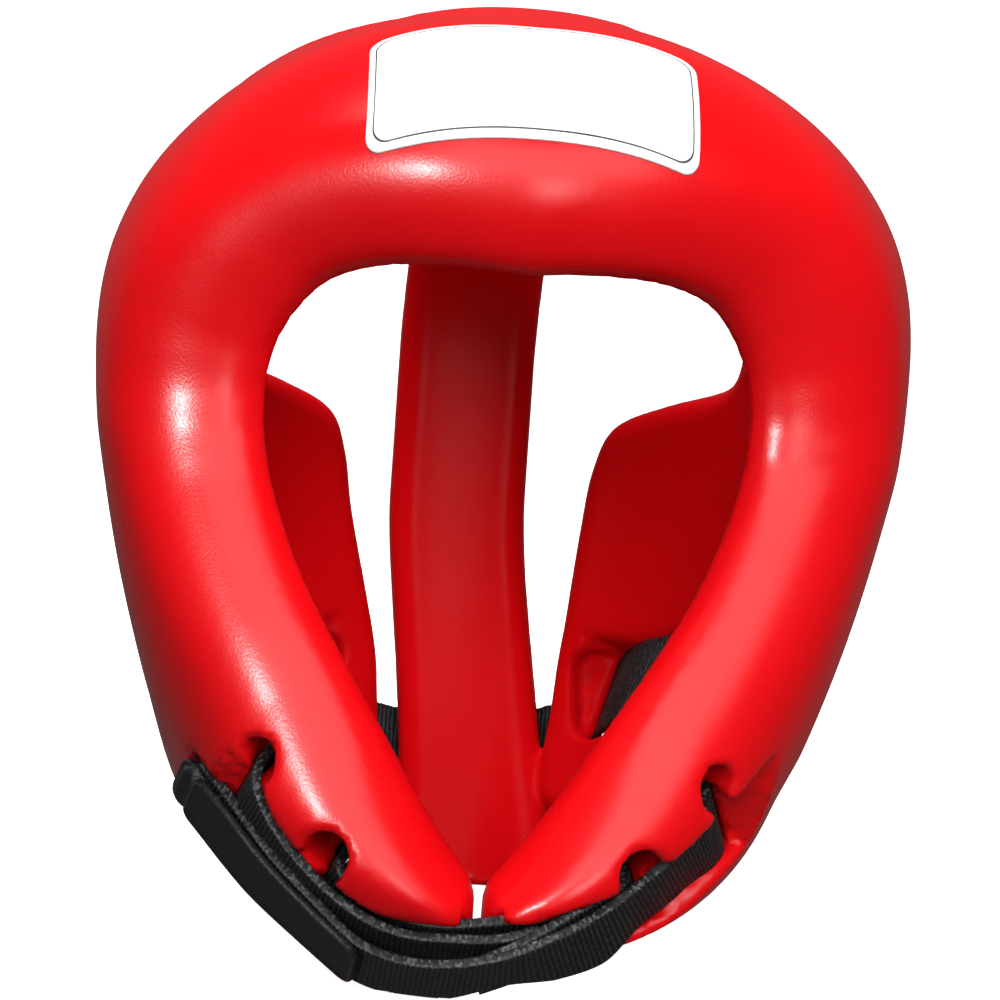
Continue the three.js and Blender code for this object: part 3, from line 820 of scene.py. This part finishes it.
def webbing_strip(name, course, random):
    """A woven band with ribs across it and uneven small loops along each edge, with painted highlights on
    the rib tops and loops kept for its colour.
    """
    stations, lengths = course.by_length(RIB["pitch"] / RIB["rows_per_rib"])
    centre, _, wide, up = course.at(stations)
    half = course.width / 2
    thick = course.thickness / 2
    across = np.linspace(-1, 1, 2 * RIB["columns"] + 1)
    ring = [(a, -1) for a in across] + [(1, face) for face in RIB["edge_faces"]]
    ring += [(-side, -face) for side, face in ring]
    rows = []
    painted_highlights = []
    for side, face in ring:
        if abs(face) < 1:
            loop = np.repeat(random.uniform(0, 1, len(lengths) // 2 + 1), 2)[:len(lengths)]
            reach = side * (half + RIB["loop"] * loop)
            height = np.full(len(lengths), face * thick)
            # Painted highlight: loops that stand further out are painted paler.
            painted_highlights.append(RIB["painted_loop_highlight"] * loop ** 2)
        else:
            turn = RIB["chevron"] * np.abs((side * RIB["columns"] / 2) % 2 - 1)
            crest_highlight_and_tone = np.abs(np.cos(math.pi * (lengths / RIB["pitch"] + turn)))
            reach = np.full(len(lengths), side * half)
            height = face * (thick - RIB["height"] * (1 - crest_highlight_and_tone) * (1 - abs(side) ** RIB["edge_power"]))
            # Painted highlight on the rib tops and painted shade in the valleys between them.
            painted_highlights.append(crest_highlight_and_tone)
        rows.append(centre + wide * reach[:, None] + up * height[:, None])
    points = np.stack(rows, 1)
    points[..., 2] = np.maximum(points[..., 2], LOWEST)
    made = new_object(name, points.reshape(-1, 3), tube_faces(*points.shape[:2]))
    add_values(made, "crest_highlight_and_tone", np.stack(painted_highlights, 1).reshape(-1))
    return made


def tube_faces(rows, around):
    """Faces of a skin over rows of points that each close on themselves, with both ends closed."""
    faces = []
    for i in range(rows - 1):
        for j in range(around):
            k = (j + 1) % around
            faces.append([i * around + j, i * around + k, (i + 1) * around + k, (i + 1) * around + j])
    first_end = list(range(around))[::-1]
    last_end = list(range((rows - 1) * around, rows * around))
    return faces + [first_end, last_end]


def round_box(width, height, corner, step):
    """Outline points of a flat box with round corners, about its middle."""
    turns = np.radians(np.linspace(0, 90, CORNER_POINTS))
    corners = []
    for quarter, (x, y) in enumerate(((1, 1), (-1, 1), (-1, -1), (1, -1))):
        around = turns + quarter * math.pi / 2
        corners.append(np.column_stack([x * (width / 2 - corner) + corner * np.cos(around),
                                        y * (height / 2 - corner) + corner * np.sin(around)]))
    corners = np.vstack(corners)
    dense = []
    for start, end in zip(corners, np.roll(corners, -1, axis=0)):
        count = max(int(np.hypot(*(end - start)) / step), 1)
        dense.append(lerp(start, end, np.linspace(0, 1, count, endpoint=False)[:, None]))
    return np.vstack(dense)


def plate_rings(outline, profile, inner):
    """Rings of a plate and their heights: its back from the middle, the profile's rows, then its face."""
    size = np.abs(outline).max(0)
    shares = np.linspace(PLATE_INMOST, 1, inner + 1)[:-1]
    back = [(outline * share, profile[0][1]) for share in shares]
    rim = [(outline * (1 - depth / size), height) for depth, height in profile]
    last, height = rim[-1]
    return back + rim + [(last * share, height) for share in shares[::-1]]


def paint_rows(made, around, materials):
    """Gives materials other than the first to rows of faces with the given number round each."""
    paint = np.zeros(len(made.data.polygons), int)
    for row, material in materials.items():
        paint[row * around:(row + 1) * around] = material
    made.data.polygons.foreach_set("material_index", paint)


def tab_patch(course):
    """The stiff tab: a smooth patch with round corners and a thin raised edge."""
    length = course.lengths[-1]
    outline = round_box(length, course.width, TAB_CORNER, TAB_OUTLINE_STEP)[::-1]
    rings = plate_rings(outline, TAB_PROFILE, TAB_RINGS)
    lines = []
    for place, height in rings:
        stations = np.interp(place[:, 0] + length / 2, course.lengths, course.stations)
        centre, _, wide, up = course.at(stations)
        lines.append(centre + wide * place[:, 1:] - up * height)
    points = np.vstack(lines)
    points[:, 2] = np.maximum(points[:, 2], LOWEST)
    made = new_object("hook_tab_patch", points, tube_faces(len(rings), len(outline)))
    paint_rows(made, len(outline), {TAB_RINGS + row: material for row, material in TAB_ROWS.items()})
    return made


def label_sheet():
    """The forehead label: a thin sheet with round corners and a dark line inside its edge."""
    outline = round_box(LABEL["width"], LABEL["height"], LABEL["corner"], LABEL["outline_step"])
    rings = plate_rings(outline, LABEL_PROFILE, LABEL_RINGS)
    points = []
    for place, height in rings:
        bow = 1 - (2 * place[:, 0] / LABEL["width"]) ** 2
        low = LABEL["low"] + LABEL["low_bow"] * bow
        high = LABEL["high"] + LABEL["high_bow"] * bow
        elevation = lerp(low, high, place[:, 1] / LABEL["height"] + 0.5)
        azimuth = place[:, 0] / 2  # a first guess, which the rounds below make exact
        for _ in range(LABEL["rounds"]):
            face = outer_height(*FIELDS.at(azimuth, elevation))
            x = over_head(azimuth, elevation, face)[:, 0]
            azimuth = azimuth + np.degrees(place[:, 0] + LABEL["middle"] - x) / HEAD["front"]
        points.append(over_head(azimuth, elevation, face + height))
    made = new_object("label_sheet", leaned(np.vstack(points)), tube_faces(len(rings), len(outline)))
    paint_rows(made, len(outline), {LABEL_RINGS + LABEL_LINE: 1})
    return made


def strap_fold(course):
    """The rounded fold at the outer strap's end, beyond the tab."""
    centre, along, wide, up = (value[0] for value in course.at(np.zeros(1)))
    middle = centre + along * FOLD["back"] - up * FOLD["out"]
    around = np.linspace(2 * math.pi, 0, FOLD["around"], endpoint=False)
    ring = np.outer(np.cos(around), along) * FOLD["reach"]
    ring = ring + np.outer(np.sin(around), up) * FOLD["half_thick"]
    rows = []
    for share in np.linspace(-1, 1, FOLD["rows"]):
        size = max((1 - abs(share) ** FOLD["power"]) ** 0.5, FOLD["tip"])
        rows.append(middle + wide * share * FOLD["width"] / 2 + ring * size)
    made = new_object("strap_end_fold", np.vstack(rows), tube_faces(len(rows), len(around)))
    # Painted highlights and painted shade on ribs round the fold.
    add_values(made, "crest_highlight_and_tone", np.tile(0.5 + 0.5 * np.cos(FOLD["ribs"] * around), len(rows)))
    return made


def fibres(name, roots, ways, lengths, radius, random):
    """Thin curved threads from roots, each a tube of few sides."""
    steps = FIBRE["steps"]
    sides = FIBRE["sides"]
    each = sides * (steps + 1)
    bend = unit(random.normal(size=ways.shape))
    side = unit(np.cross(ways, bend))
    other = np.cross(ways, side)
    turns = np.radians(90 + 360 / sides * np.arange(sides))
    rows = []
    for i in range(steps + 1):
        share = i / steps
        middle = roots + ways * (lengths * share)[:, None]
        middle = middle + side * (FIBRE["bend"] * lengths * share ** 2)[:, None]
        for turn in turns:
            off = side * math.cos(turn) + other * math.sin(turn)
            rows.append(middle + off * radius * (1 - FIBRE["taper"] * share))
    points = np.stack(rows, 1).reshape(-1, 3)
    one = tube_faces(steps + 1, sides)
    faces = [[corner + i * each for corner in face] for i in range(len(roots)) for face in one]
    made = new_object(name, points, faces)
    add_values(made, "crest_highlight_and_tone", np.repeat(random.uniform(FIBRE["darkest"], 1, len(roots)), each))
    return made


def frayed_threads(course, random):
    """Loose threads at the outer strap's end, in front of the tab."""
    places = np.concatenate([random.normal(middle, spread, count) for count, middle, spread in TUFTS])
    stations = np.interp(places, course.lengths, course.stations)
    centre, along, wide, up = course.at(stations)
    depth = random.uniform(*THREADS["depths"], len(places))
    roots = centre - wide * (course.width / 2 - THREADS["in_from_edge"]) - up * depth[:, None]
    roots = roots + along * np.minimum(places, 0)[:, None]
    ways = np.array(THREADS["way"]) + THREADS["scatter"] * random.normal(size=roots.shape)
    lengths = random.uniform(THREADS["shortest"], THREADS["longest"], len(places))
    return fibres("frayed_threads", roots, unit(ways), lengths, THREADS["radius"], random)


def edge_fuzz(name, course, random):
    """Fine fuzz along the front edge of a strap."""
    places = random.uniform(0, course.lengths[-1], int(FUZZ["per_mm"] * course.lengths[-1]))
    centre, _, wide, up = course.at(np.interp(places, course.lengths, course.stations))
    height = random.uniform(-0.5, 0.5, len(places)) * course.thickness
    roots = centre - wide * course.width / 2 + up * height[:, None]
    ways = unit(-wide + FUZZ["scatter"] * random.normal(size=roots.shape))
    lengths = random.uniform(FUZZ["shortest"], FUZZ["longest"], len(places))
    return fibres(name, roots, ways, lengths, FUZZ["radius"], random)


# Materials

class Material:
    """A material whose nodes lead into the sockets of its one shader."""

    def __init__(self, name):
        self.made = bpy.data.materials.new(name)
        self.made.use_nodes = True
        self.tree = self.made.node_tree
        self.sockets = self.tree.nodes["Principled BSDF"].inputs

    def noise(self, scale, detail=4):
        place = self.tree.nodes.new("ShaderNodeTexCoord")
        made = self.tree.nodes.new("ShaderNodeTexNoise")
        made.inputs["Scale"].default_value = scale
        made.inputs["Detail"].default_value = detail
        self.tree.links.new(place.outputs["Object"], made.inputs["Vector"])
        return made.outputs["Fac"]

    def attribute(self, name):
        made = self.tree.nodes.new("ShaderNodeAttribute")
        made.attribute_name = name
        return made.outputs["Fac"]

    def product(self, first, second):
        made = self.tree.nodes.new("ShaderNodeMath")
        made.operation = "MULTIPLY"
        self.tree.links.new(first, made.inputs[0])
        self.tree.links.new(second, made.inputs[1])
        return made.outputs["Value"]

    def ramp(self, socket, source, stops):
        """Leads the colours or greys of a ramp, picked by a source, into a socket."""
        made = self.tree.nodes.new("ShaderNodeValToRGB")
        elements = made.color_ramp.elements
        while len(elements) < len(stops):
            elements.new(0.5)
        for element, (place, color) in zip(elements, stops):
            element.position = place
            element.color = (*np.broadcast_to(color, 3), 1)
        self.tree.links.new(source, made.inputs["Fac"])
        self.tree.links.new(made.outputs["Color"], self.sockets[socket])

    def bump(self, height, strength, distance):
        made = self.tree.nodes.new("ShaderNodeBump")
        made.inputs["Strength"].default_value = strength
        made.inputs["Distance"].default_value = distance
        self.tree.links.new(height, made.inputs["Height"])
        self.tree.links.new(made.outputs["Normal"], self.sockets["Normal"])


def foam_skin():
    """Satin red skin of moulded foam, with fine pores and faint scuffs."""
    skin = Material("foam_skin")
    skin.ramp("Base Color", skin.noise(FOAM_LOOK["tint_scale"]), FOAM_LOOK["tint"])
    skin.ramp("Roughness", skin.noise(FOAM_LOOK["wear_scale"], detail=3), FOAM_LOOK["roughness"])
    skin.bump(skin.noise(FOAM_LOOK["pore_scale"], detail=3), *FOAM_LOOK["pore_bump"])
    skin.ramp("Specular IOR Level", skin.attribute("inner"), FOAM_LOOK["specular"])
    return skin.made


def woven_nylon():
    """Black nylon webbing with painted highlights on its rib tops and pale painted highlights as speckles
    on the loops along its edges.
    """
    nylon = Material("webbing")
    yarn = nylon.noise(WEBBING_LOOK["yarn_scale"], detail=3)
    nylon.ramp("Base Color", nylon.product(nylon.attribute("crest_highlight_and_tone"), yarn), WEBBING_LOOK["color"])
    nylon.sockets["Roughness"].default_value = WEBBING_LOOK["roughness"]
    nylon.sockets["Specular IOR Level"].default_value = WEBBING_LOOK["specular"]
    nylon.bump(yarn, *WEBBING_LOOK["yarn_bump"])
    return nylon.made


def tab_rubber(name, color):
    """Matte rubber with fine dust."""
    rubber = Material(name)
    dust = rubber.noise(TAB_LOOK["dust_scale"], detail=5)
    rubber.ramp("Base Color", dust, color)
    rubber.ramp("Roughness", dust, TAB_LOOK["roughness"])
    rubber.sockets["Specular IOR Level"].default_value = TAB_LOOK["specular"]
    rubber.bump(dust, *TAB_LOOK["dust_bump"])
    return rubber.made


def label_film(name, color):
    """Film of the label, with a faint unevenness."""
    film = Material(name)
    cloud = film.noise(LABEL_LOOK["cloud_scale"])
    film.ramp("Base Color", cloud, color)
    film.ramp("Roughness", cloud, LABEL_LOOK["roughness"])
    return film.made


def floor_paper():
    paper = Material("floor_paper")
    paper.ramp("Base Color", paper.noise(FLOOR_LOOK["grain_scale"]), FLOOR_LOOK["color"])
    paper.sockets["Roughness"].default_value = FLOOR_LOOK["roughness"]
    paper.sockets["Emission Color"].default_value = (1, 1, 1, 1)
    paper.sockets["Emission Strength"].default_value = FLOOR_LOOK["glow"]
    return paper.made


# Studio

def backdrop():
    """A round pale floor that curves up into a far wall, and throws no light or shadow on the guard."""
    bend = BACKDROP["bend"]
    flat = BACKDROP["radius"] - bend
    turns = np.linspace(0, math.pi / 2, BACKDROP["bend_steps"])
    line = [(BACKDROP["inmost"], 0)]
    line += [(flat + bend * math.sin(turn), bend * (1 - math.cos(turn))) for turn in turns]
    line.append((BACKDROP["radius"], BACKDROP["top"]))
    around = np.linspace(2 * math.pi, 0, BACKDROP["around"], endpoint=False)
    points = [(radius * math.cos(turn), radius * math.sin(turn), z - BACKDROP["below"])
              for radius, z in line for turn in around]
    made = new_object("floor", points, tube_faces(len(line), len(around)))
    made.data.materials.append(floor_paper())
    made.visible_glossy = False
    made.visible_diffuse = False
    made.visible_shadow = False
    return made


def softbox(name, place, aim, size, power, lights_skin):
    """An area light. One that does not light the skin shows only as a highlight on it."""
    light = bpy.data.lights.new(name, "AREA")
    light.shape = "RECTANGLE"
    light.size, light.size_y = size
    light.energy = power
    made = bpy.data.objects.new(name, light)
    made.location = place
    made.rotation_euler = (Vector(aim) - Vector(place)).to_track_quat("-Z", "Y").to_euler()
    made.visible_diffuse = lights_skin
    bpy.context.scene.collection.objects.link(made)


def photo_camera():
    azimuth, elevation, roll = (math.radians(CAMERA[key]) for key in ("azimuth", "elevation", "roll"))
    back = Vector((math.sin(azimuth) * math.cos(elevation), -math.cos(azimuth) * math.cos(elevation),
                   math.sin(elevation)))
    right = back.cross(Vector((0, 0, 1))).normalized() * -1
    up = back.cross(right)
    right, up = (math.cos(roll) * right + math.sin(roll) * up, math.cos(roll) * up - math.sin(roll) * right)
    camera = bpy.data.cameras.new("photo_camera")
    camera.sensor_width = LENS["sensor_mm"]
    camera.sensor_fit = "HORIZONTAL"
    camera.lens = LENS["focal_mm"]
    made = bpy.data.objects.new("photo_camera", camera)
    place = Matrix((right, up, back)).transposed().to_4x4()
    place.translation = Vector(CAMERA["target"]) + CAMERA["distance"] * back
    made.matrix_world = place
    bpy.context.scene.collection.objects.link(made)
    bpy.context.scene.camera = made


def studio_light():
    world = bpy.data.worlds.new("studio")
    world.use_nodes = True
    background = world.node_tree.nodes["Background"]
    background.inputs["Color"].default_value = (1, 1, 1, 1)
    background.inputs["Strength"].default_value = WORLD_LIGHT
    bpy.context.scene.world = world
    for row in LIGHTS:
        softbox(*row)


# Assembly

photo_camera()
studio_light()
bpy.context.scene.view_settings.view_transform = "Standard"
backdrop()

foam = shell()
foam.data.materials.append(foam_skin())
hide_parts("shell")

webbing = woven_nylon()
chance = np.random.default_rng(SEED)
pieces = [foam]
for node in ("chin_strap_left", "chin_strap_right", "rear_strap"):
    band = webbing_strip(node + "_webbing", COURSES[node], chance)
    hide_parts(node)
    fuzz = edge_fuzz(node + "_fuzz", COURSES[node], chance)
    for piece in (band, fuzz):
        piece.data.materials.append(webbing)
        pieces.append(piece)
for piece in (strap_fold(COURSES["chin_strap_right"]), frayed_threads(COURSES["chin_strap_right"], chance),
              edge_fuzz("hook_tab_fuzz", COURSES["hook_tab"], chance)):
    piece.data.materials.append(webbing)
    pieces.append(piece)

tab = tab_patch(COURSES["hook_tab"])
tab.data.materials.append(tab_rubber("tab_rubber", TAB_LOOK["patch"]))
tab.data.materials.append(tab_rubber("tab_rim", TAB_LOOK["rim"]))
tab.data.materials.append(webbing)
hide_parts("hook_tab")
pieces.append(tab)

label = label_sheet()
label.data.materials.append(label_film("label_white", LABEL_LOOK["sheet"]))
label.data.materials.append(label_film("label_line", LABEL_LOOK["line"]))
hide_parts("front_label")
pieces.append(label)

for piece in pieces:
    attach(piece, "root")
